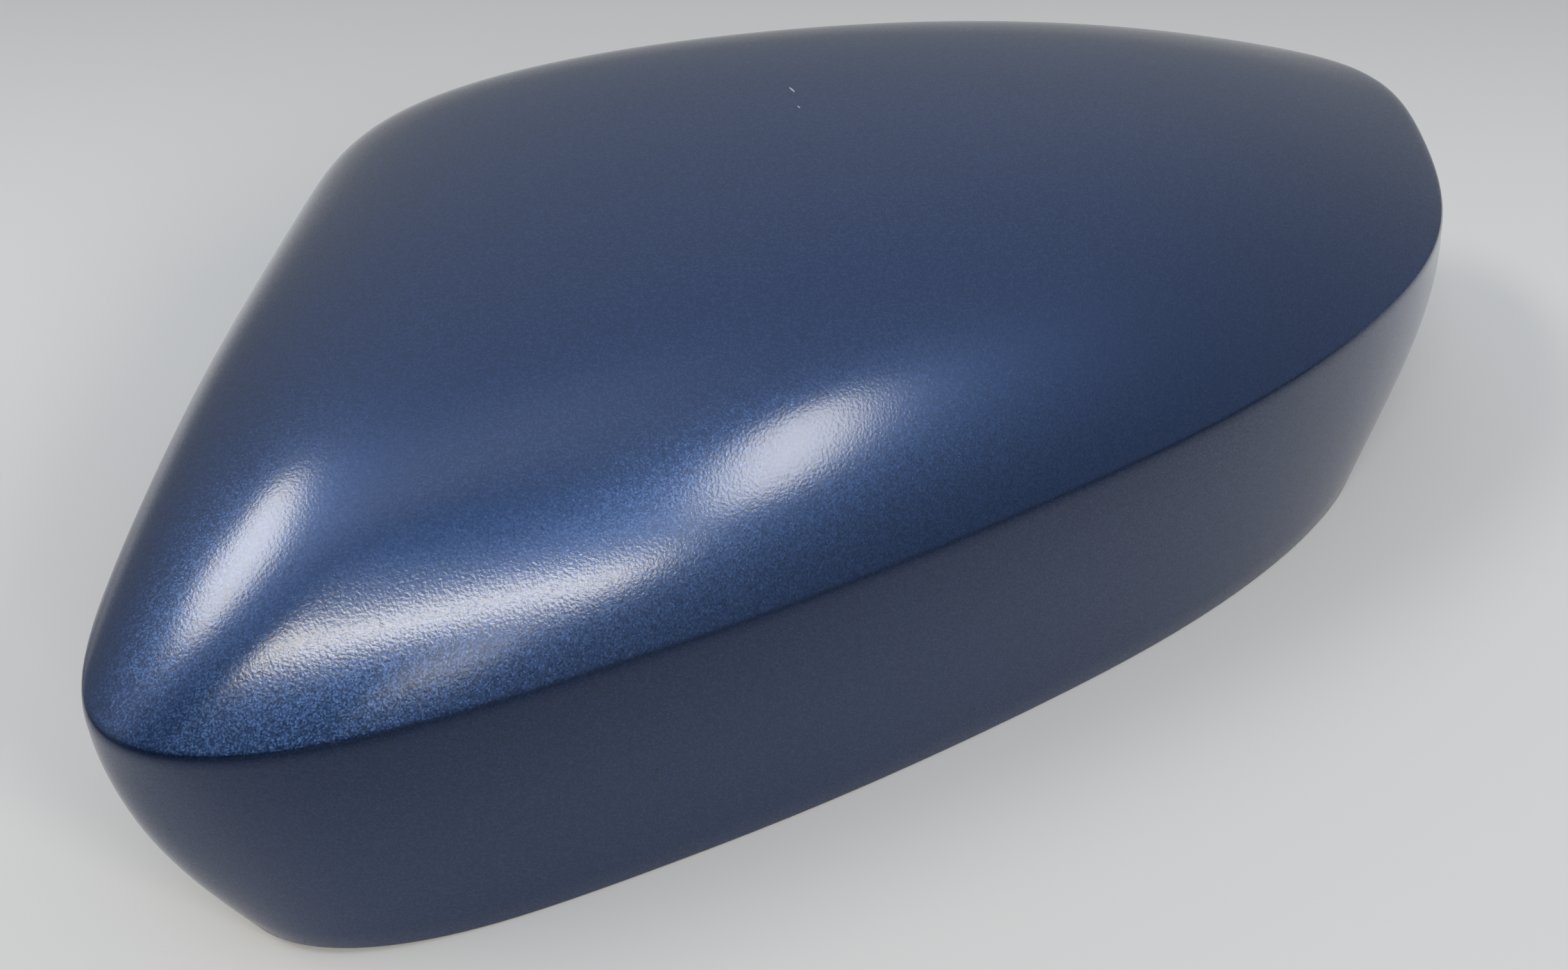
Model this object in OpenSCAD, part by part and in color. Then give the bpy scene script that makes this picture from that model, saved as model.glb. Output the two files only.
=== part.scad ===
// Wing mirror cover: one moulded shell with a shoulder crease, standing on its open rim.
// X runs along the cover, +Y is its far side, Z is up and the rim rests on z = 0.

/* [Cover] */
// Length of the cover at its shoulder
cover_length = 248; // [210:1:290]
// Width of the cover at its shoulder
cover_width = 124; // [105:1:150]
// Height of the crown above the rim
cover_height = 76; // [66:0.5:90]
// Thickness of the moulded wall
wall = 2.5; // [1.8:0.1:3.5]

/* [Shoulder] */
// Height of the shoulder crease along the near side
crease_height = 42.7; // [36:0.5:48]
// Height of the soft shoulder along the far side
shoulder_height = 50.1; // [44:0.5:56]
// How far the rounding of the crease reaches to each side of it
crease_round = 2.4; // [1.2:0.1:3]
// How far the skirt bulges past a straight wall at the inner end
skirt_bow_inner = 3.6; // [0:0.1:6]
// How far the skirt bulges past a straight wall at the outer end
skirt_bow_outer = 13.5; // [0:0.1:16]

/* [Rim] */
// How far the shoulder overhangs the rim at the inner end
overhang_inner = 9.6; // [4:0.2:14]
// How far the shoulder overhangs the rim at the outer end
overhang_outer = 14.8; // [6:0.2:20]
// How far the shoulder overhangs the rim on the far side
overhang_far = 21.2; // [10:0.2:26]
// How far the rim stands out past the crease on the near side
flare_near = 3.5; // [0:0.1:6]
// How far the rim lifts off the ground at the inner end
rim_lift = 2.3; // [0:0.1:6]
// Length of rim over which that lift fades out
lift_length = 35; // [20:1:60]
// Thickness of the thin lip round the rim
lip = 1.5; // [1:0.1:1.7]
// Height of the thin lip
lip_height = 4; // [2:0.5:6]

/* [Crown] */
// Radius of the crown along the cover
crown_radius_x = 370; // [300:5:600]
// Radius of the crown across the cover
crown_radius_y = 208; // [180:2:400]
// Fullness of the dome toward the inner end, where higher is squarer
fullness_inner = 6.3; // [4:0.1:8]
// Fullness of the dome toward the outer end
fullness_outer = 3.8; // [2.5:0.1:5]

/* [Snap hooks] */
// Width of a snap hook along the wall
hook_width = 12; // [8:0.5:16]
// Thickness of a hook's tongue
hook_thick = 2; // [1.5:0.1:3]
// Gap between a hook's tongue and the wall behind it
hook_gap = 3; // [2:0.1:4]
// How far the barb catches past the tongue
hook_barb = 2.5; // [1.5:0.1:3.5]
// Height of the tongue's tip above the rim
hook_tip = 5; // [4:0.5:8]
// Length of the tongue from its root to its tip
hook_length = 20; // [16:0.5:22]

/* [Locating pins] */
// Diameter of a locating pin
pin_d = 6; // [4:0.1:8]
// Length of a locating pin past its boss
pin_length = 10; // [6:0.5:14]
// Diameter of the boss that carries the pin
boss_d = 10; // [9:0.5:13]
// Length of the boss below the inner skin
boss_length = 20; // [12:0.5:26]
// Distance between the two pins
pin_spacing = 96; // [70:1:110]

/* [Ribs] */
// Thickness of the webs and ribs
rib_thick = 1.6; // [1:0.1:2.2]
// Depth of the ribs below the inner skin of the dome
rib_depth = 8; // [5:0.5:12]
// How far a shoulder web reaches down the skirt below the shoulder
web_drop = 14; // [8:0.5:18]
// How far a shoulder web reaches in under the dome, as a share of the way to its middle
web_reach = 0.24; // [0.15:0.01:0.3]

/* [Hidden] */

// Points round the cover, rings up its dome and steps round its crease
around = 96;
dome_rings = 15;
round_steps = 4;
// Shares of the way up the skirt at which its rings lie above the lip
skirt_shares = [0.31, 0.52, 0.73];
// Height over which the lip thickens to the full wall
lip_step = 0.4;
// Depth to which webs, hooks and bosses run into the wall
bite = wall * 0.5;
// Angle up the dome at which the rounding of the crease ends
round_angle = 84;
paint = [0.17, 0.24, 0.40];

// Outline of the shoulder from above: control points of a closed curve, as shares of a
// nominal length and width, anticlockwise from the inner near corner
shoulder_net = [
  [-0.517, -0.258], [-0.414, -0.417], [-0.241, -0.450], [-0.108, -0.464], [0.073, -0.450],
  [0.240, -0.410], [0.422, -0.269], [0.491, 0.007], [0.529, 0.269], [0.323, 0.486],
  [0.020, 0.670], [-0.214, 0.803], [-0.277, 0.565], [-0.426, 0.072]
];
// Middle of the dome and of the crown, from the middle of the cover
dome_middle = [-2, -5];
crown_middle = [-8, 0];
// Roundness of the dome where it meets the shoulder: 1 leaves a crease, 2 rolls over softly
edge_near = 1;
edge_far = 2.2;
// Share of the width over which the crease softens into the far shoulder
soften_from = 0.1;
soften_to = 0.6;

function clamp(t) = max(0, min(1, t));
function ease(t) = let (c = clamp(t)) c * c * (3 - 2 * c);
function unit(v) = v / norm(v);
function flat(v) = [v.x, v.y];

// Point at share u of the way round a closed cubic spline
function spline(net, u) =
  let (
    m = len(net),
    w = (u - floor(u)) * m,
    i = floor(w),
    t = w - i,
    a = net[(i + m - 1) % m],
    b = net[i % m],
    c = net[(i + 1) % m],
    d = net[(i + 2) % m]
  )
  (pow(1 - t, 3) * a + (3 * t * t * t - 6 * t * t + 4) * b
    + (-3 * t * t * t + 3 * t * t + 3 * t + 1) * c + t * t * t * d) / 6;

// Places of the snap hooks and of the shoulder webs, as shares of the way round
hook_places = [0.12, 0.36, 0.50, 0.66, 0.77, 0.925];
web_places = [0.06, 0.18, 0.24, 0.30, 0.43, 0.60, 0.715, 0.82, 0.87, 0.975];
// Root of a hook, height, slope and land of its barb, and chamfer of a pin
hook_root = 3;
barb_height = 6;
barb_slope = 1;
barb_land = 1;
pin_chamfer = 0.8;
// Middles of the two pins from above
pin_places = [for (side = [-0.5, 0.5]) crown_middle + [side * pin_spacing, 0]];
// How far the long rib runs past the pins, length of the cross ribs, and their run-out
rib_overrun = 30;
cross_rib = 56;
rib_run_out = 14;
// Height that is left of a rib where it ends inside the wall, as a share of the bite
rib_tuck = 0.8;
web_steps = 6;
rib_steps = 16;

// The shoulder line, fitted to the cover's length and width
sampled = [for (i = [0:around - 1]) spline(shoulder_net, i / around)];
low = [min([for (p = sampled) p.x]), min([for (p = sampled) p.y])];
high = [max([for (p = sampled) p.x]), max([for (p = sampled) p.y])];
function share_x(u) = (spline(shoulder_net, u).x - low.x) / (high.x - low.x);
function share_y(u) = (spline(shoulder_net, u).y - low.y) / (high.y - low.y);
function shoulder_plan(u) = [(share_x(u) - 0.5) * cover_length, (share_y(u) - 0.5) * cover_width];
sampled_plan = [for (i = [0:around - 1]) shoulder_plan(i / around)];
function shoulder_z(u) = crease_height + (shoulder_height - crease_height) * share_y(u);
function shoulder(u) = [each shoulder_plan(u), shoulder_z(u)];

// Outward direction from above at share u of the way round
function outward(u) =
  let (step = 0.5 / around, t = shoulder_plan(u + step) - shoulder_plan(u - step))
  unit([t.y, -t.x]);

// The rim: the shoulder line drawn in by the overhangs
rim_length = cover_length - overhang_inner - overhang_outer;
rim_width = cover_width - overhang_far + flare_near;
function rim(u) =
  let (x = share_x(u) * rim_length)
  [
    x - cover_length / 2 + overhang_inner,
    share_y(u) * rim_width - cover_width / 2 - flare_near,
    rim_lift * pow(clamp(1 - x / lift_length), 2)
  ];

// Skirt at share s of the way from the rim up to the shoulder, bowed at the ends
function bow(u) =
  (skirt_bow_inner + (skirt_bow_outer - skirt_bow_inner) * share_x(u)) * (1 - ease(-outward(u).y));
function skirt(u, s) =
  rim(u) * (1 - s) + shoulder(u) * s + bow(u) * 4 * s * (1 - s) * [each outward(u), 0];

// Dome at angle t, from 90 at the shoulder to 0 at its middle
function fullness(u) = fullness_outer + (fullness_inner - fullness_outer) * pow(1 - share_x(u), 2);
function edge(u) =
  edge_near + (edge_far - edge_near) * ease((share_y(u) - soften_from) / (soften_to - soften_from));
function crown(p) =
  let (d = p - crown_middle)
  cover_height - d.x * d.x / (2 * crown_radius_x) - d.y * d.y / (2 * crown_radius_y);
function dome(u, t) =
  let (
    reach = sin(t),
    p = dome_middle + reach * (shoulder_plan(u) - dome_middle),
    rise = pow(max(0, 1 - pow(reach, fullness(u))), 1 / edge(u))
  )
  [each p, shoulder_z(u) + (crown(p) - shoulder_z(u)) * rise];

// Rounding of the crease: a short curve from the skirt to the dome
function below_crease(u) = 1 - crease_round / shoulder_z(u);
function rounded(u, t) =
  pow(1 - t, 2) * skirt(u, below_crease(u)) + 2 * t * (1 - t) * shoulder(u)
    + t * t * dome(u, round_angle);

// Rings of the outer skin, from the rim up to just short of the dome's middle
function rings_at(u) = concat(
  [for (z = [0, lip_height, lip_height + lip_step]) skirt(u, z / shoulder_z(u))],
  [for (s = skirt_shares) skirt(u, s)],
  [for (j = [0:round_steps]) rounded(u, j / round_steps)],
  [for (j = [1:dome_rings]) dome(u, round_angle * (1 - j / (dome_rings + 1)))]
);
columns = [for (i = [0:around - 1]) rings_at(i / around)];
rings = len(columns[0]);
outer = [for (k = [0:rings - 1]) [for (i = [0:around - 1]) columns[i][k]]];
top = dome(0, 0);

// Outward direction of the outer skin at one of its points
function skin_normal(k, i) =
  let (
    left = outer[k][(i + around - 1) % around],
    right = outer[k][(i + 1) % around],
    down = outer[max(k - 1, 0)][i],
    up = k + 1 < rings ? outer[k + 1][i] : top
  )
  unit(cross(right - left, up - down));

// Inner skin: the outer skin drawn in by the wall, and by the thin lip at the rim
function drawn_in(k, i) =
  let (n = skin_normal(k, i), depth = k < 2 ? lip : wall)
  k < 3 ? outer[k][i] - depth * [each unit(flat(n)), 0] : outer[k][i] - depth * n;

// Behind the rounding of the crease the inner skin runs straight across
round_start = 3 + len(skirt_shares);
function behind(k, i) =
  let (t = (k - round_start) / round_steps)
  t > 0 && t < 1
    ? (1 - t) * drawn_in(round_start, i) + t * drawn_in(round_start + round_steps, i)
    : drawn_in(k, i);
inner = [for (k = [0:rings - 1]) [for (i = [0:around - 1]) behind(k, i)]];

// Middle of the whole cover from above, which the model is centred on
all_x = [for (r = outer) each [for (p = r) p.x]];
all_y = [for (r = outer) each [for (p = r) p.y]];
middle = [(min(all_x) + max(all_x)) / 2, (min(all_y) + max(all_y)) / 2];

// The moulded shell as one closed skin: out over the dome, back inside, joined at the rim
module shell() {
  ring_count = rings * around;
  points = [each [for (r = outer) each r], top, each [for (r = inner) each r], top - [0, 0, wall]];
  inside = ring_count + 1;
  function quad(a, b, c, d) = [[a, b, c], [a, c, d]];
  faces = [
    for (k = [0:rings - 2], i = [0:around - 1])
      let (j = (i + 1) % around, a = k * around, b = a + around)
      each quad(a + i, b + i, b + j, a + j),
    for (k = [0:rings - 2], i = [0:around - 1])
      let (j = (i + 1) % around, a = inside + k * around, b = a + around)
      each quad(a + i, a + j, b + j, b + i),
    for (i = [0:around - 1])
      let (j = (i + 1) % around, a = ring_count - around)
      [a + i, ring_count, a + j],
    for (i = [0:around - 1])
      let (j = (i + 1) % around, a = inside + ring_count - around)
      [a + i, a + j, inside + ring_count],
    for (i = [0:around - 1])
      let (j = (i + 1) % around)
      each quad(i, j, inside + j, inside + i)
  ];
  polyhedron(points = points, faces = faces, convexity = 6);
}

// Height of the outer skin of the dome over a point of the plan
function turn(p) = let (d = p - dome_middle, a = atan2(d.y, d.x) - first_turn) a - 360 * floor(a / 360);
first_ray = sampled_plan[0] - dome_middle;
first_turn = atan2(first_ray.y, first_ray.x) - 0.001;
turns = [for (i = [0:around - 1]) [turn(sampled_plan[i]), i / around], [360, 1]];
function dome_z(p) =
  let (u = lookup(turn(p), turns), reach = norm(p - dome_middle) / norm(shoulder_plan(u) - dome_middle))
  dome(u, asin(min(1, reach))).z;

// Stands a flat outline up on the plan: its x runs along a direction, its y becomes height
module upright(p, direction, thick) {
  translate([p.x, p.y, 0])
    rotate([0, 0, atan2(direction.y, direction.x)])
      rotate([90, 0, 0])
        linear_extrude(thick, center = true)
          children();
}

// Outward direction of the skirt itself at share s of its height
function skirt_outward(u, s) =
  let (step = 0.5 / around, t = skirt(u + step, s) - skirt(u - step, s))
  unit([t.y, -t.x]);

// Snap hook: a tongue that hangs from the wall with a barb at its tip
module hook(u) {
  low_share = hook_tip / shoulder_z(u);
  top_share = (hook_tip + hook_length) / shoulder_z(u);
  out = skirt_outward(u, (low_share + top_share) / 2);
  foot = skirt(u, low_share) - wall * [each out, 0];
  head = skirt(u, top_share) - wall * [each out, 0];
  lean = atan2((head - foot) * [each out, 0], head.z - foot.z);
  face = hook_gap + hook_thick;
  upright(flat(foot), -out, hook_width)
    translate([0, foot.z])
      rotate(lean)
        polygon([
          [-bite, hook_length], [face, hook_length], [face, barb_height],
          [face + hook_barb, barb_height - barb_slope],
          [face + hook_barb, barb_height - barb_slope - barb_land], [face, 0],
          [hook_gap, 0], [hook_gap, hook_length - hook_root], [-bite, hook_length - hook_root]
        ]);
}

// Shoulder web: a gusset in the corner between the skirt and the dome
module shoulder_web(u) {
  start = shoulder_plan(u);
  inward = -outward(u);
  span = web_reach * norm(start - dome_middle);
  low_share = 1 - web_drop / shoulder_z(u);
  skirt_side = [
    for (j = [0:web_steps])
      let (p = skirt(u, low_share + (below_crease(u) - low_share) * j / web_steps))
      [(flat(p) - start) * inward + bite, p.z]
  ];
  dome_side = [
    for (j = [0:web_steps])
      let (r = bite + (span - bite) * pow(j / web_steps, 2))
      [r, dome_z(start + r * inward) - bite]
  ];
  upright(start, inward, rib_thick)
    polygon(concat(skirt_side, dome_side));
}

// Rib along the inner skin of the dome between two points, running out to nothing at its ends
module rib(a, b) {
  run = norm(b - a);
  way = unit(b - a);
  along = [for (j = [0:rib_steps]) run * j / rib_steps];
  upper = [for (d = along) [d, dome_z(a + d * way) - bite]];
  lower = [
    for (j = [rib_steps:-1:0])
      let (d = along[j], depth = rib_depth * ease(min(d, run - d) / rib_run_out))
      [d, upper[j].y - rib_tuck * bite - depth]
  ];
  upright(a, way, rib_thick)
    polygon(concat(upper, lower));
}

// Locating pin on its boss, hanging from the crown
module locating_pin(p) {
  skin = dome_z(p) - wall;
  translate([p.x, p.y, skin - boss_length])
    cylinder(h = boss_length + bite, d = boss_d);
  translate([p.x, p.y, skin - boss_length - pin_length]) {
    translate([0, 0, pin_chamfer])
      cylinder(h = pin_length, d = pin_d);
    cylinder(h = pin_chamfer, d1 = pin_d - 2 * pin_chamfer, d2 = pin_d);
  }
}

module mirror_cover() {
  color(paint)
    translate([-middle.x, -middle.y, 0])
      union() {
        shell();
        for (u = hook_places)
          hook(u);
        for (u = web_places)
          shoulder_web(u);
        for (p = pin_places)
          locating_pin(p);
        rib(pin_places[0] - [rib_overrun, 0], pin_places[1] + [rib_overrun, 0]);
        for (p = pin_places)
          rib(p - [0, cross_rib / 2], p + [0, cross_rib / 2]);
      }
}

mirror_cover();
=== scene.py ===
"""Wing mirror cover: a moulded shell, painted satin metallic blue outside and bare plastic inside.

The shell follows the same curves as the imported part, at a finer step. Sizes are in millimetres until a
mesh is made, and the cover stands on its open rim with its crease toward the camera.
"""
from math import asin, atan2, cos, degrees, pi, radians, sin

import bmesh
import bpy
import numpy as np
from mathutils import Matrix, Vector

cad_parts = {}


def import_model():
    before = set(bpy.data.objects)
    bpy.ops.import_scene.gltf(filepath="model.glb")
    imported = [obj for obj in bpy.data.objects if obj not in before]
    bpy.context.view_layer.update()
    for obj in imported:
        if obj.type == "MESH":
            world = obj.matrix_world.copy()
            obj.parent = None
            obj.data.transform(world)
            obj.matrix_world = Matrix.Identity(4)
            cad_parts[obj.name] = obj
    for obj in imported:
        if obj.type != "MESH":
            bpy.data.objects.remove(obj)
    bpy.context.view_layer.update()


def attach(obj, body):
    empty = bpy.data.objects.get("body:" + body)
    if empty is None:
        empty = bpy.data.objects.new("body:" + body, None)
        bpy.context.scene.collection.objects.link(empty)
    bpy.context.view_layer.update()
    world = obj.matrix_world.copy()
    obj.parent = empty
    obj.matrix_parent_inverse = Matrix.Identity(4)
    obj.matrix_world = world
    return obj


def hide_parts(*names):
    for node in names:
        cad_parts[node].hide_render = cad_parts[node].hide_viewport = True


MM = 0.001

# Cover
COVER_LENGTH = 248.0
COVER_WIDTH = 124.0
COVER_HEIGHT = 76.0
WALL = 2.5

# Shoulder
CREASE_HEIGHT = 42.7
SHOULDER_HEIGHT = 50.1
CREASE_ROUND = 2.4
BOW_INNER = 3.6
BOW_OUTER = 13.5
ROUND_ANGLE = 84.0
EDGE_NEAR = 1.0
EDGE_FAR = 2.2
SOFTEN_FROM = 0.1
SOFTEN_TO = 0.6
SHOULDER_NET = np.array([
    (-0.517, -0.258), (-0.414, -0.417), (-0.241, -0.450), (-0.108, -0.464), (0.073, -0.450),
    (0.240, -0.410), (0.422, -0.269), (0.491, 0.007), (0.529, 0.269), (0.323, 0.486),
    (0.020, 0.670), (-0.214, 0.803), (-0.277, 0.565), (-0.426, 0.072),
])

# Rim
OVERHANG_INNER = 9.6
OVERHANG_OUTER = 14.8
OVERHANG_FAR = 21.2
FLARE_NEAR = 3.5
RIM_LIFT = 2.3
LIFT_LENGTH = 35.0
LIP = 1.5
LIP_HEIGHT = 4.0
LIP_STEP = 0.4
RIM_ROUND = 0.45
RIM_STEPS = 3

# Crown
CROWN_RADIUS_X = 370.0
CROWN_RADIUS_Y = 208.0
CROWN_MIDDLE = np.array([-8.0, 0.0])
DOME_MIDDLE = np.array([-2.0, -5.0])
FULLNESS_INNER = 6.3
FULLNESS_OUTER = 3.8

# Slight swell just inside the crease at the inner end: its height, how far in it reaches as a share of
# the dome, and the shares of the length between which it fades out. t (1 - t)^2 is at most 4 / 27
CORNER_SWELL = 0.4
CORNER_REACH = 0.20
CORNER_FROM = 0.02
CORNER_TO = 0.36
HUMP_TOP = 4 / 27

# Snap hooks round the skirt, their places given as shares of the way round
HOOK_PLACES = (0.12, 0.36, 0.50, 0.66, 0.77, 0.925)
HOOK_WIDTH = 12.0
HOOK_THICK = 2.0
HOOK_GAP = 3.0
HOOK_BARB = 2.5
HOOK_TIP = 5.0
HOOK_LENGTH = 20.0
HOOK_ROOT = 3.0
BARB_HEIGHT = 6.0
BARB_SLOPE = 1.0
BARB_LAND = 1.0

# Locating pins on the crown
PIN_D = 6.0
PIN_LENGTH = 10.0
PIN_CHAMFER = 0.8
BOSS_D = 10.0
BOSS_LENGTH = 20.0
PIN_SPACING = 96.0

# Webs behind the shoulder and ribs under the dome
WEB_PLACES = (0.06, 0.18, 0.24, 0.30, 0.43, 0.60, 0.715, 0.82, 0.87, 0.975)
RIB_THICK = 1.6
RIB_DEPTH = 8.0
RIB_OVERRUN = 30.0
CROSS_RIB = 56.0
RIB_RUN_OUT = 14.0
RIB_TUCK = 0.8
WEB_DROP = 14.0
WEB_REACH = 0.24
BITE = WALL / 2

# Half the stretch of the shoulder line that gives its direction, as a share of the way round
OUTWARD_STEP = 0.005

# Points round the shell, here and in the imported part, rings up its skirt and its dome, and steps round
# its crease
AROUND = 288
PART_AROUND = 96
SKIRT_RINGS = 16
DOME_RINGS = 48
ROUND_STEPS = 8

# Points along the edges of a web and a rib, and sides of a pin
WEB_SKIRT_POINTS = 9
WEB_DOME_POINTS = 13
RIB_POINTS = 49
PIN_SIDES = 48

# Edges that turn more than this stay sharp
SHARP_ANGLE = 40.0

# Paint
PAINT = (0.008, 0.029, 0.103, 1.0)
PAINT_METAL = 0.85
PAINT_ROUGHNESS = 0.35
FLAKE_BRIGHT = (0.020, 0.053, 0.158, 1.0)
FLAKE = 0.20
FLAKE_TILT = 0.13
BRIGHT_FLAKES_FROM = 0.35
COAT_ROUGHNESS = 0.15
PEEL = 0.42
PEEL_STRENGTH = 0.34
BUMP_DEPTH = 0.05

# Small marks in the paint: middle and half sizes
SCUFF = (0.30, 0.32, 0.37, 1.0)
SPECK = (0.004, 0.006, 0.012, 1.0)
SCUFFS = (((-3.5, 8.9, 75.8), (0.22, 1.1, 1.0)), ((-5.1, 3.6, 75.8), (0.15, 0.5, 1.0)))
SPECKS = (((-61.0, -61.2, 21.0), (0.35, 1.0, 0.25)),)
MARK_CORE = 0.6

# Bare plastic, and the mist of paint inside the rim
BARE = (0.020, 0.021, 0.023, 1.0)
BARE_ROUGHNESS = 0.55
GRAIN = 0.5
GRAIN_STRENGTH = 0.25
MIST_LOW = 2.5
MIST_HIGH = 5.5
MIST_RAGGED = 4.0

# Floor, in metres. Its colour fades along a direction away from the camera
FLOOR_SIZE = 12.0
FLOOR_ROUGHNESS = 0.7
FLOOR_NEAR = (0.53, 0.544, 0.585, 1.0)
FLOOR_FAR = (0.295, 0.299, 0.313, 1.0)
AWAY = (0.463, 0.886, 0.0)
FADE_FROM = 0.02
FADE_TO = 0.35

# Painted shade: the floor in front of the cover is dark in the cover's own reflections, so that its skirt
# reflects shade there, while the camera sees that floor pale
FLOOR_PAINTED_SHADE = (0.04, 0.04, 0.04, 1.0)
DARK_OVAL = (0.5, 1.0, 1.0)
DARK_OVAL_FROM = 0.07
DARK_OVAL_TO = 0.17
DARK_UNDER_COVER = 0.2
DARK_BEHIND = 0.08
DARK_IN_FRONT = -0.04

# Lamps: two directions from the cover, a width in metres, a power and a shape
LAMP_REACH = 4.0
LAMP_COLOUR = (1.0, 0.93, 0.77)
LAMPS = {
    "left_lamp": ((-0.63, 0.11, 0.77), (-0.47, 0.51, 0.72), 0.72, 38.0, "ELLIPSE"),
    "long_lamp": ((-0.545, -0.22, 0.81), (0.12, -0.92, 0.38), 0.18, 72.0, "RECTANGLE"),
    "low_lamp": ((-0.25, -0.82, 0.52), (-0.02, -0.94, 0.34), 0.07, 4.5, "ELLIPSE"),
    "right_lamp": ((0.25, -0.86, 0.44), (0.34, -0.62, 0.71), 0.80, 36.0, "ELLIPSE"),
}

# Room: how bright its parts are, and the share of a direction at which each change starts and ends
ROOM_COLOUR = (0.90, 0.97, 1.05, 1.0)
WALL_LIGHT = 0.22
FAR_WALL_LIGHT = 0.28
FAR_WALL = (-0.2, 0.6)
CEILING_LIGHT = 0.70
CEILING = (-0.1, 0.9)
DARK_SIDE = (-0.62, -0.62, 0.48)
DARK_SHARE = 0.04
DARK_EDGE = (0.60, 0.88)
GLOW_SIDE = (-0.40, -0.25, 0.88)
GLOW_LIGHT = 0.5
GLOW_EDGE = (0.70, 0.98)

# Camera: place in millimetres, turns in degrees, and lens
CAMERA_PLACE = (-110.95, -194.57, 208.3)
CAMERA_PAN = -27.6
CAMERA_LOOKS_DOWN = 43.28
CAMERA_ROLL = 0.264
SENSOR_WIDTH = 36.0
LENS = 38.28


def ease(t):
    t = np.clip(t, 0.0, 1.0)
    return t * t * (3.0 - 2.0 * t)


def unit(v):
    return v / np.linalg.norm(v, axis=-1, keepdims=True)


def with_height(plan, height):
    return np.concatenate([plan, np.broadcast_to(height, plan.shape[:-1])[..., None]], axis=-1)


def spline(net, u):
    """Points at shares u of the way round a closed cubic spline."""
    w = (u - np.floor(u)) * len(net)
    i = np.floor(w).astype(int)
    t = (w - i)[..., None]
    a, b, c, d = (net[(i + step) % len(net)] for step in (-1, 0, 1, 2))
    return ((1 - t) ** 3 * a + (3 * t**3 - 6 * t**2 + 4) * b
            + (-3 * t**3 + 3 * t**2 + 3 * t + 1) * c + t**3 * d) / 6


# The shoulder line is fitted to the cover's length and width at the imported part's own step
SAMPLED = spline(SHOULDER_NET, np.arange(PART_AROUND) / PART_AROUND)
NET_LOW = SAMPLED.min(axis=0)
NET_SPAN = SAMPLED.max(axis=0) - NET_LOW


def shares(u):
    """How far along and across the cover the shoulder line lies, from 0 to 1."""
    return (spline(SHOULDER_NET, u) - NET_LOW) / NET_SPAN


def shoulder_plan(u):
    return (shares(u) - 0.5) * np.array([COVER_LENGTH, COVER_WIDTH])


def shoulder_height(u):
    return CREASE_HEIGHT + (SHOULDER_HEIGHT - CREASE_HEIGHT) * shares(u)[..., 1]


def shoulder(u):
    return with_height(shoulder_plan(u), shoulder_height(u))


def outward(u):
    """Direction out of the cover across the shoulder line, in the plan."""
    step = OUTWARD_STEP
    along = shoulder_plan(u + step) - shoulder_plan(u - step)
    return unit(np.stack([along[..., 1], -along[..., 0]], axis=-1))


def rim(u):
    share = shares(u)
    x = share[..., 0] * (COVER_LENGTH - OVERHANG_INNER - OVERHANG_OUTER)
    y = share[..., 1] * (COVER_WIDTH - OVERHANG_FAR + FLARE_NEAR)
    lift = RIM_LIFT * np.clip(1 - x / LIFT_LENGTH, 0, 1) ** 2
    return np.stack(
        [x - COVER_LENGTH / 2 + OVERHANG_INNER, y - COVER_WIDTH / 2 - FLARE_NEAR, lift], axis=-1)


def skirt(u, share):
    """Skirt at a share of the way from the rim up to the shoulder, bowed at the ends."""
    out = outward(u)
    bow = BOW_INNER + (BOW_OUTER - BOW_INNER) * shares(u)[..., 0]
    bow = bow * (1 - ease(-out[..., 1])) * 4 * share * (1 - share)
    share = np.asarray(share)[..., None] if np.ndim(share) else share
    return rim(u) * (1 - share) + shoulder(u) * share + with_height(out, 0.0) * bow[..., None]


def crown(plan):
    d = plan - CROWN_MIDDLE
    return COVER_HEIGHT - d[..., 0] ** 2 / (2 * CROWN_RADIUS_X) - d[..., 1] ** 2 / (2 * CROWN_RADIUS_Y)


def corner_swell(share, reach):
    """Extra height that rises and falls again on the way in from the crease."""
    corner = 1 - ease((share[..., 0] - CORNER_FROM) / (CORNER_TO - CORNER_FROM))
    inward = np.clip((1 - reach) / CORNER_REACH, 0.0, 1.0)
    return CORNER_SWELL * corner * inward * (1 - inward) ** 2 / HUMP_TOP


def dome(u, angle):
    """Dome at an angle, from 90 at the shoulder to 0 at its middle."""
    share = shares(u)
    fullness = FULLNESS_OUTER + (FULLNESS_INNER - FULLNESS_OUTER) * (1 - share[..., 0]) ** 2
    soft = ease((share[..., 1] - SOFTEN_FROM) / (SOFTEN_TO - SOFTEN_FROM))
    edge = EDGE_NEAR + (EDGE_FAR - EDGE_NEAR) * soft
    reach = sin(radians(angle))
    plan = DOME_MIDDLE + reach * (shoulder_plan(u) - DOME_MIDDLE)
    rise = np.maximum(0, 1 - reach**fullness) ** (1 / edge)
    height = shoulder_height(u)
    return with_height(plan, height + (crown(plan) - height) * rise + corner_swell(share, reach))


def below_crease(u):
    return 1 - CREASE_ROUND / shoulder_height(u)


def crease(u, t):
    """The rounded crease, from the skirt at 0 to the dome at 1."""
    low = skirt(u, below_crease(u))
    return (1 - t) ** 2 * low + 2 * t * (1 - t) * shoulder(u) + t * t * dome(u, ROUND_ANGLE)


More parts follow.
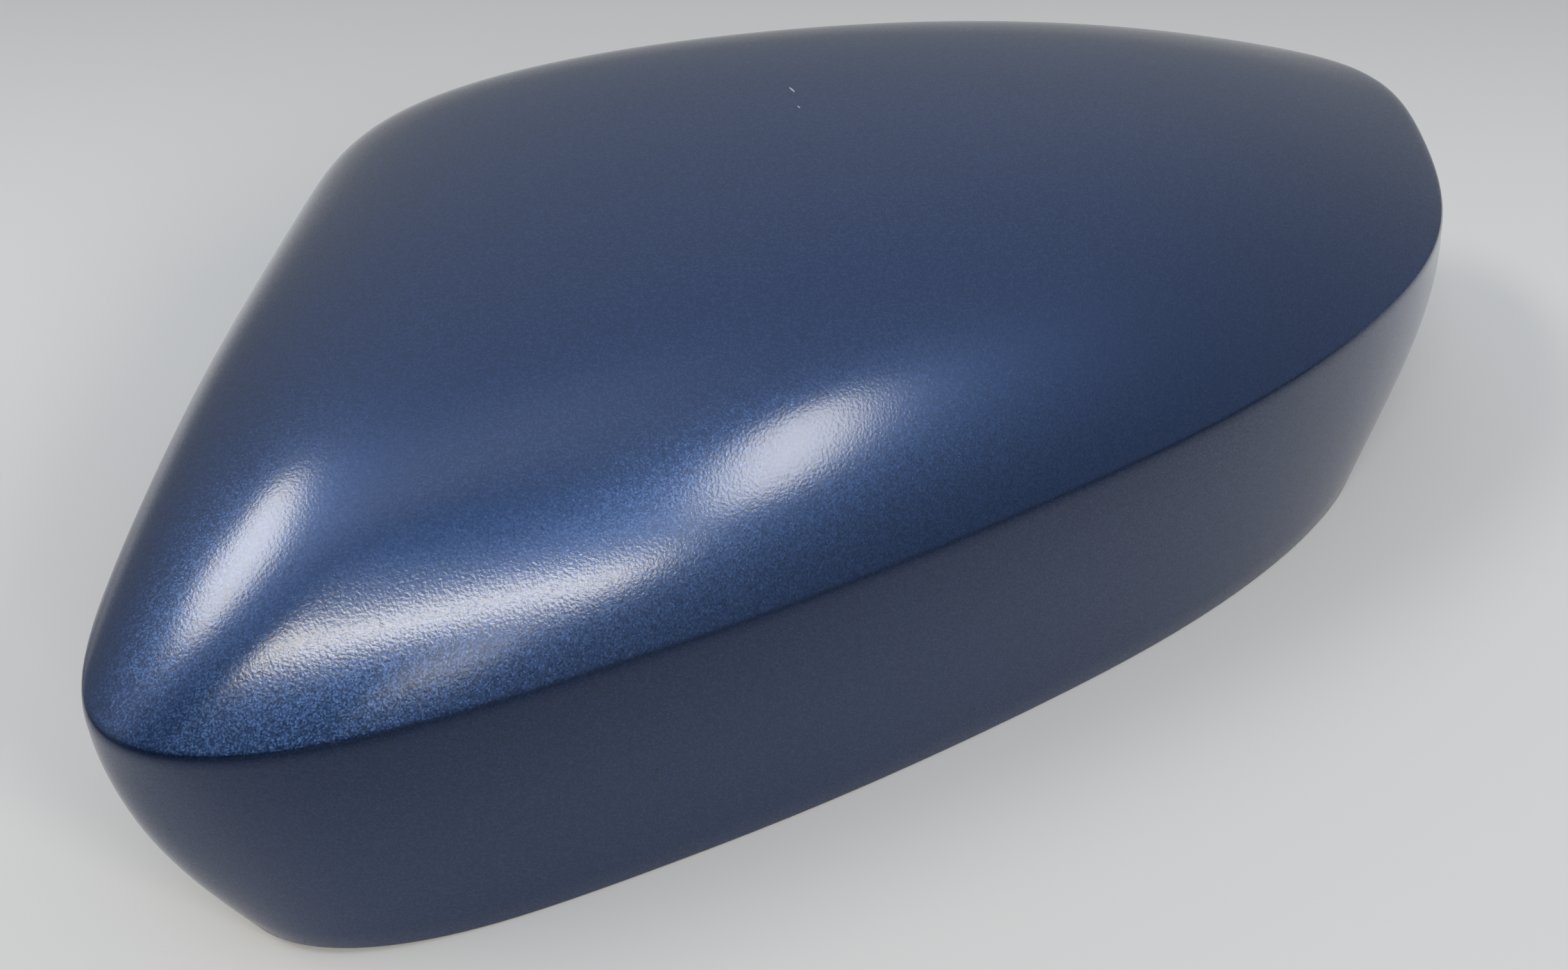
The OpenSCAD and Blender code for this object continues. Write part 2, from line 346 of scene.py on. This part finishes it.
def skin_rings():
    """Rings of the outer skin from the rounded rim up to just short of the dome's middle, and the
    number of the ring where the rounding of the crease starts."""
    u = np.arange(AROUND) / AROUND
    height = shoulder_height(u)
    out = with_height(outward(u), 0.0)
    rings = []
    for k in range(RIM_STEPS):
        turn = radians(90 * k / RIM_STEPS)
        tucked = RIM_ROUND * (1 - sin(turn))
        rings.append(skirt(u, RIM_ROUND * (1 - cos(turn)) / height) - tucked * out)
    rings += [skirt(u, z / height) for z in (RIM_ROUND, LIP_HEIGHT, LIP_HEIGHT + LIP_STEP)]
    start = (LIP_HEIGHT + LIP_STEP) / height
    for k in range(1, SKIRT_RINGS):
        rings.append(skirt(u, start + (below_crease(u) - start) * k / SKIRT_RINGS))
    round_start = len(rings)
    rings += [crease(u, k / ROUND_STEPS) for k in range(ROUND_STEPS + 1)]
    rings += [dome(u, ROUND_ANGLE * (1 - k / DOME_RINGS)) for k in range(1, DOME_RINGS)]
    return np.array(rings), round_start


def skin_normals(rings, top):
    along = np.roll(rings, -1, axis=1) - np.roll(rings, 1, axis=1)
    above = np.concatenate([rings[1:], np.broadcast_to(top, rings[:1].shape)])
    below = np.concatenate([rings[:1], rings[:-1]])
    return unit(np.cross(along, above - below))


def skins():
    """Outer and inner skin as rings of points, and the middle of the dome."""
    outer, round_start = skin_rings()
    top = dome(np.zeros(1), 0.0)[0]
    normals = skin_normals(outer, top)
    inner = outer - WALL * normals
    lip_top = RIM_STEPS + 1
    out = with_height(unit(normals[lip_top, :, :2]), 0.0)
    for k in range(lip_top + 1):
        foot = outer[k] if k >= RIM_STEPS else with_height(outer[RIM_STEPS][:, :2], outer[k][:, 2])
        inner[k] = foot - LIP * out
    inner[lip_top + 1] = outer[lip_top + 1] - WALL * out
    first, last = inner[round_start], inner[round_start + ROUND_STEPS]
    for k in range(1, ROUND_STEPS):
        inner[round_start + k] = first + (last - first) * k / ROUND_STEPS
    return outer, inner, top


OUTER, INNER, TOP = skins()
MIDDLE = (OUTER[..., :2].reshape(-1, 2).min(axis=0) + OUTER[..., :2].reshape(-1, 2).max(axis=0)) / 2


def placed(points):
    """Points in millimetres brought to the frame, which has the cover's middle at its origin."""
    return (np.asarray(points) - np.array([*MIDDLE, 0.0])) * MM


def shell_object(name):
    rings, count = OUTER.shape[:2]
    around = np.arange(count)
    after = (around + 1) % count
    half = rings * count + 1
    points = [*OUTER.reshape(-1, 3), TOP, *INNER.reshape(-1, 3), TOP - [0, 0, WALL]]
    faces, painted = [], []
    for k in range(rings - 1):
        a, b = k * count, (k + 1) * count
        faces += [(a + i, a + j, b + j, b + i) for i, j in zip(around, after)]
        faces += [(half + a + i, half + b + i, half + b + j, half + a + j) for i, j in zip(around, after)]
        painted += [True] * count + [False] * count
    last = (rings - 1) * count
    faces += [(last + i, last + j, half - 1) for i, j in zip(around, after)]
    faces += [(half + last + j, half + last + i, 2 * half - 1) for i, j in zip(around, after)]
    faces += [(j, i, half + i, half + j) for i, j in zip(around, after)]
    painted += [True] * count + [False] * count + [True] * count
    mesh = bpy.data.meshes.new(name)
    mesh.from_pydata([tuple(p) for p in placed(points)], [], [tuple(int(v) for v in f) for f in faces])
    mesh.update()
    mesh.polygons.foreach_set("material_index", [0 if p else 1 for p in painted])
    made = bpy.data.objects.new(name, mesh)
    bpy.context.scene.collection.objects.link(made)
    return made


def skirt_outward(u, share):
    step = 0.5 / AROUND
    along = skirt(u + step, share) - skirt(u - step, share)
    return unit(np.array([along[..., 1], -along[..., 0]]))


SPREAD = np.arange(AROUND + 1) / AROUND
SPOKES = shoulder_plan(SPREAD) - DOME_MIDDLE
TURNS = np.unwrap(np.arctan2(SPOKES[:, 1], SPOKES[:, 0]))


def dome_height(plan):
    """Height of the dome's outer skin over a point of the plan."""
    spoke = np.asarray(plan) - DOME_MIDDLE
    turn = TURNS[0] + (atan2(spoke[1], spoke[0]) - TURNS[0]) % (2 * pi)
    u = np.interp(turn, TURNS, SPREAD)
    reach = np.linalg.norm(spoke) / np.linalg.norm(shoulder_plan(u) - DOME_MIDDLE)
    return dome(u, degrees(asin(min(1.0, reach))))[2]


def prism(profile, start, direction, thick):
    """A flat outline stood up on the plan and given a thickness. Its points are (reach, height)."""
    side = thick / 2 * np.array([-direction[1], direction[0]])
    walls = [[[*(start + r * direction + s * side), z] for r, z in profile] for s in (-1, 1)]
    n = len(profile)
    solid = bmesh.new()
    verts = [solid.verts.new(p) for p in placed(walls[0] + walls[1])]
    solid.faces.new(verts[:n])
    solid.faces.new(verts[:n - 1:-1])
    for i in range(n):
        j = (i + 1) % n
        solid.faces.new((verts[j], verts[i], verts[n + i], verts[n + j]))
    bmesh.ops.recalc_face_normals(solid, faces=solid.faces)
    return solid


def hook(u):
    """Snap hook: a tongue that hangs from the wall with a barb at its tip."""
    low, high = HOOK_TIP / shoulder_height(u), (HOOK_TIP + HOOK_LENGTH) / shoulder_height(u)
    out = skirt_outward(u, (low + high) / 2)
    foot, head = (skirt(u, share) - WALL * with_height(out, 0.0) for share in (low, high))
    lean = atan2((head - foot)[:2] @ out, head[2] - foot[2])
    face = HOOK_GAP + HOOK_THICK
    barb = face + HOOK_BARB
    root = HOOK_LENGTH - HOOK_ROOT
    flat = [
        (-BITE, HOOK_LENGTH), (-BITE, root), (HOOK_GAP, root), (HOOK_GAP, 0.0), (face, 0.0),
        (barb, BARB_HEIGHT - BARB_SLOPE - BARB_LAND), (barb, BARB_HEIGHT - BARB_SLOPE),
        (face, BARB_HEIGHT), (face, HOOK_LENGTH),
    ]
    leaning = [(r * cos(lean) - z * sin(lean), foot[2] + r * sin(lean) + z * cos(lean)) for r, z in flat]
    return prism(leaning, foot[:2], -out, HOOK_WIDTH)


def shoulder_web(u):
    """Gusset in the corner between the skirt and the dome."""
    start = shoulder_plan(u)
    inward = -outward(u)
    span = WEB_REACH * np.linalg.norm(start - DOME_MIDDLE)
    low = 1 - WEB_DROP / shoulder_height(u)
    profile = []
    for share in np.linspace(low, below_crease(u), WEB_SKIRT_POINTS):
        p = skirt(u, share)
        profile.append(((p[:2] - start) @ inward + BITE, p[2]))
    for share in np.linspace(0, 1, WEB_DOME_POINTS) ** 2:
        r = BITE + (span - BITE) * share
        profile.append((r, dome_height(start + r * inward) - BITE))
    return prism(profile, start, inward, RIB_THICK)


def rib(start, end):
    """Rib along the inner skin of the dome, running out to nothing at its ends."""
    run = np.linalg.norm(end - start)
    way = (end - start) / run
    upper = [(d, dome_height(start + d * way) - BITE) for d in np.linspace(0, run, RIB_POINTS)]
    lower = []
    for d, z in reversed(upper):
        depth = RIB_DEPTH * ease(min(d, run - d) / RIB_RUN_OUT)
        lower.append((d, z - RIB_TUCK * BITE - depth))
    return prism(upper + lower, start, way, RIB_THICK)


def locating_pin(plan):
    """Turned outline of a boss and its pin, hanging from the crown."""
    skin = dome_height(plan) - WALL
    boss = skin - BOSS_LENGTH
    tip = boss - PIN_LENGTH
    profile = [
        (0.0, skin + BITE), (BOSS_D / 2, skin + BITE), (BOSS_D / 2, boss), (PIN_D / 2, boss),
        (PIN_D / 2, tip + PIN_CHAMFER), (PIN_D / 2 - PIN_CHAMFER, tip), (0.0, tip),
    ]
    solid = bmesh.new()
    verts = [solid.verts.new(p) for p in placed([(plan[0] + r, plan[1], z) for r, z in profile])]
    edges = [solid.edges.new(pair) for pair in zip(verts, verts[1:])]
    bmesh.ops.spin(
        solid, geom=verts + edges, cent=verts[0].co, axis=(0, 0, 1), angle=2 * pi, steps=PIN_SIDES)
    bmesh.ops.remove_doubles(solid, verts=solid.verts, dist=0.01 * MM)
    bmesh.ops.recalc_face_normals(solid, faces=solid.faces)
    return solid


def inner_features():
    pins = [CROWN_MIDDLE + [side * PIN_SPACING / 2, 0.0] for side in (-1, 1)]
    along, across = np.array([RIB_OVERRUN, 0.0]), np.array([0.0, CROSS_RIB / 2])
    yield from (hook(u) for u in HOOK_PLACES)
    yield from (shoulder_web(u) for u in WEB_PLACES)
    yield rib(pins[0] - along, pins[1] + along)
    for pin in pins:
        yield rib(pin - across, pin + across)
        yield locating_pin(pin)


def weld(cover):
    """Moulds every inner feature into the shell."""
    for solid in inner_features():
        mesh = bpy.data.meshes.new("feature")
        solid.to_mesh(mesh)
        solid.free()
        for material in cover.data.materials:
            mesh.materials.append(material)
        mesh.polygons.foreach_set("material_index", [1] * len(mesh.polygons))
        tool = bpy.data.objects.new("feature", mesh)
        bpy.context.scene.collection.objects.link(tool)
        union = cover.modifiers.new("weld", "BOOLEAN")
        union.operation = "UNION"
        union.solver = "MANIFOLD"
        union.object = tool
        with bpy.context.temp_override(object=cover, active_object=cover):
            bpy.ops.object.modifier_apply(modifier=union.name)
        bpy.data.objects.remove(tool)
        bpy.data.meshes.remove(mesh)


def feed(tree, socket, value):
    """Links a socket to another one, or sets it to a plain value."""
    if isinstance(value, bpy.types.NodeSocket):
        tree.links.new(value, socket)
    else:
        socket.default_value = value


class Nodes:
    """Short calls for building a node tree."""

    def __init__(self, tree):
        self.tree = tree

    def add(self, kind, inputs=(), **settings):
        node = self.tree.nodes.new(kind)
        for key, value in settings.items():
            setattr(node, key, value)
        for key, value in dict(inputs).items():
            feed(self.tree, node.inputs[key], value)
        return node

    def maths(self, operation, *values):
        return self.add("ShaderNodeMath", dict(enumerate(values)), operation=operation).outputs[0]

    def vector(self, operation, *values):
        made = self.add("ShaderNodeVectorMath", dict(enumerate(values)), operation=operation)
        return made.outputs["Value" if operation in ("LENGTH", "DISTANCE", "DOT_PRODUCT") else 0]

    def ramp(self, value, low, high, start=0.0, end=1.0):
        """Smooth step of a value from low to high."""
        sockets = {"Value": value, "From Min": low, "From Max": high, "To Min": start, "To Max": end}
        return self.add("ShaderNodeMapRange", sockets, interpolation_type="SMOOTHSTEP").outputs[0]

    def mix_colour(self, factor, a, b):
        """A mix of two colours. The node's colour sockets are 6 and 7, and its colour output is 2."""
        return self.add("ShaderNodeMix", {0: factor, 6: a, 7: b}, data_type="RGBA").outputs[2]


def new_material(name):
    material = bpy.data.materials.new(name)
    material.use_nodes = True
    material.node_tree.nodes.clear()
    nodes = Nodes(material.node_tree)
    place = nodes.add("ShaderNodeTexCoord").outputs["Object"]
    return material, nodes, place


def finish_material(nodes, shader):
    nodes.add("ShaderNodeOutputMaterial", {"Surface": shader})


def marks(nodes, place, spots):
    """A mask of small oval marks, 1 inside and 0 outside."""
    mask = 0.0
    for middle, size in spots:
        off = nodes.vector("SUBTRACT", place, tuple(v * MM for v in middle))
        off = nodes.vector("DIVIDE", off, tuple(v * MM for v in size))
        mask = nodes.maths("MAXIMUM", mask, nodes.ramp(nodes.vector("LENGTH", off), 1.0, MARK_CORE))
    return mask


def paint_material():
    """Satin metallic blue: tilted flakes under a softly rippled coat."""
    material, nodes, place = new_material("blue_metallic_paint")
    flakes = nodes.add(
        "ShaderNodeTexVoronoi", {"Vector": place, "Scale": 1 / (FLAKE * MM), "Randomness": 1.0})
    tilt = nodes.vector("SUBTRACT", flakes.outputs["Color"], (0.5, 0.5, 0.5))
    tilt = nodes.vector("SCALE", tilt)
    tilt.node.inputs["Scale"].default_value = FLAKE_TILT
    facing = nodes.add("ShaderNodeNewGeometry").outputs["Normal"]
    tilted = nodes.vector("NORMALIZE", nodes.vector("ADD", facing, tilt))
    glint = nodes.add("ShaderNodeSeparateColor", {0: flakes.outputs["Color"]}).outputs[0]
    colour = nodes.mix_colour(nodes.ramp(glint, BRIGHT_FLAKES_FROM, 1.0), PAINT, FLAKE_BRIGHT)
    scuffed = marks(nodes, place, SCUFFS)
    colour = nodes.mix_colour(scuffed, colour, SCUFF)
    colour = nodes.mix_colour(marks(nodes, place, SPECKS), colour, SPECK)
    metal = nodes.maths("MULTIPLY", PAINT_METAL, nodes.maths("SUBTRACT", 1.0, scuffed))
    peel = nodes.add(
        "ShaderNodeTexNoise", {"Vector": place, "Scale": 1 / (PEEL * MM), "Detail": 2.0, "Roughness": 0.5})
    coat = nodes.add(
        "ShaderNodeBump",
        {"Height": peel.outputs[0], "Strength": PEEL_STRENGTH, "Distance": BUMP_DEPTH * MM})
    shader = nodes.add("ShaderNodeBsdfPrincipled", {
        "Base Color": colour, "Metallic": metal, "Roughness": PAINT_ROUGHNESS, "Normal": tilted,
        "Coat Weight": 1.0, "Coat Roughness": COAT_ROUGHNESS, "Coat Normal": coat.outputs[0],
    })
    finish_material(nodes, shader.outputs[0])
    return material


def plastic_material():
    """Bare dark moulding, with a mist of paint that fades out above the rim."""
    material, nodes, place = new_material("bare_plastic")
    height = nodes.add("ShaderNodeSeparateXYZ", {0: place}).outputs[2]
    ragged = nodes.add(
        "ShaderNodeTexNoise", {"Vector": place, "Scale": 1 / (MIST_RAGGED * MM), "Detail": 4.0})
    edge = nodes.maths("ADD", height, nodes.maths("MULTIPLY", ragged.outputs[0], MIST_RAGGED * MM))
    mist = nodes.ramp(edge, MIST_HIGH * MM, MIST_LOW * MM)
    grain = nodes.add("ShaderNodeTexNoise", {"Vector": place, "Scale": 1 / (GRAIN * MM), "Detail": 3.0})
    bump = nodes.add(
        "ShaderNodeBump",
        {"Height": grain.outputs[0], "Strength": GRAIN_STRENGTH, "Distance": BUMP_DEPTH * MM})
    shader = nodes.add("ShaderNodeBsdfPrincipled", {
        "Base Color": nodes.mix_colour(mist, BARE, PAINT), "Roughness": BARE_ROUGHNESS,
        "Normal": bump.outputs[0],
    })
    finish_material(nodes, shader.outputs[0])
    return material


def floor_material():
    """Plain pale floor, which the camera sees pale all over and the cover sees dark in front, as painted
    shade that only the cover's reflections show.
    """
    material, nodes, place = new_material("pale_floor")
    away = nodes.vector("DOT_PRODUCT", place, AWAY)
    colour = nodes.mix_colour(nodes.ramp(away, FADE_FROM, FADE_TO), FLOOR_NEAR, FLOOR_FAR)
    seen = nodes.add("ShaderNodeLightPath").outputs["Is Camera Ray"]
    spread = nodes.vector("LENGTH", nodes.vector("MULTIPLY", place, DARK_OVAL))
    beside = nodes.ramp(spread, DARK_OVAL_FROM, DARK_OVAL_TO, DARK_UNDER_COVER, 1.0)
    dark = nodes.maths("MULTIPLY", beside, nodes.ramp(away, DARK_BEHIND, DARK_IN_FRONT))
    # Painted shade on the floor near and in front of the cover, for every ray but the camera's
    painted_shade = nodes.maths("MULTIPLY", dark, nodes.maths("SUBTRACT", 1.0, seen))
    colour = nodes.mix_colour(painted_shade, colour, FLOOR_PAINTED_SHADE)
    shader = nodes.add(
        "ShaderNodeBsdfPrincipled", {"Base Color": colour, "Roughness": FLOOR_ROUGHNESS})
    finish_material(nodes, shader.outputs[0])
    return material


def make_floor():
    mesh = bpy.data.meshes.new("floor")
    reach = FLOOR_SIZE / 2
    corners = [(-reach, -reach, 0), (reach, -reach, 0), (reach, reach, 0), (-reach, reach, 0)]
    mesh.from_pydata(corners, [], [(0, 1, 2, 3)])
    mesh.materials.append(floor_material())
    made = bpy.data.objects.new("floor", mesh)
    bpy.context.scene.collection.objects.link(made)


def strip_lamp(name, start, end, width, power, shape):
    """A long area lamp between two directions from the cover, each at the lamps' distance."""
    a, b = (Vector(d).normalized() * LAMP_REACH for d in (start, end))
    light = bpy.data.lights.new(name, "AREA")
    light.shape = shape
    light.size, light.size_y = (b - a).length, width
    light.energy = power
    light.color = LAMP_COLOUR
    made = bpy.data.objects.new(name, light)
    middle = (a + b) / 2
    along = (b - a).normalized()
    back = middle.normalized()
    across = back.cross(along).normalized()
    turn = Matrix((along, across, along.cross(across))).transposed()
    made.matrix_world = Matrix.Translation(middle) @ turn.to_4x4()
    bpy.context.scene.collection.objects.link(made)


def make_world():
    """A pale ceiling over a room that is dark low down beyond the long lamp."""
    world = bpy.data.worlds.new("room")
    world.use_nodes = True
    world.node_tree.nodes.clear()
    nodes = Nodes(world.node_tree)
    toward = nodes.add("ShaderNodeTexCoord").outputs["Generated"]
    parts = nodes.add("ShaderNodeSeparateXYZ", {0: toward})
    wall = nodes.ramp(parts.outputs[1], *FAR_WALL, WALL_LIGHT, FAR_WALL_LIGHT)
    strength = nodes.ramp(parts.outputs[2], *CEILING, wall, CEILING_LIGHT)
    shade = nodes.ramp(nodes.vector("DOT_PRODUCT", toward, DARK_SIDE), *DARK_EDGE, 1.0, DARK_SHARE)
    glow = nodes.ramp(nodes.vector("DOT_PRODUCT", toward, GLOW_SIDE), *GLOW_EDGE, 0.0, GLOW_LIGHT)
    strength = nodes.maths("MULTIPLY", nodes.maths("ADD", strength, glow), shade)
    room = nodes.add("ShaderNodeBackground", {"Color": ROOM_COLOUR, "Strength": strength})
    nodes.add("ShaderNodeOutputWorld", {"Surface": room.outputs[0]})
    bpy.context.scene.world = world


def make_camera():
    data = bpy.data.cameras.new("camera")
    data.sensor_width = SENSOR_WIDTH
    data.lens = LENS
    data.clip_start, data.clip_end = 0.01, 20.0
    made = bpy.data.objects.new("camera", data)
    pan = Matrix.Rotation(radians(CAMERA_PAN), 4, "Z")
    tilt = Matrix.Rotation(radians(90 - CAMERA_LOOKS_DOWN), 4, "X")
    turn = pan @ tilt @ Matrix.Rotation(radians(CAMERA_ROLL), 4, "Z")
    made.matrix_world = Matrix.Translation(Vector(CAMERA_PLACE) * MM) @ turn
    bpy.context.scene.collection.objects.link(made)
    bpy.context.scene.camera = made


def make_cover():
    cover = shell_object("moulded_cover")
    cover.data.materials.append(paint_material())
    cover.data.materials.append(plastic_material())
    weld(cover)
    cover.data.shade_smooth()
    cover.data.set_sharp_from_angle(angle=radians(SHARP_ANGLE))
    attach(cover, "root")
    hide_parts("mirror_cover")


def main():
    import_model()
    make_cover()
    make_floor()
    for name, lamp in LAMPS.items():
        strip_lamp(name, *lamp)
    make_world()
    make_camera()
    bpy.context.scene.view_settings.view_transform = "Standard"


main()
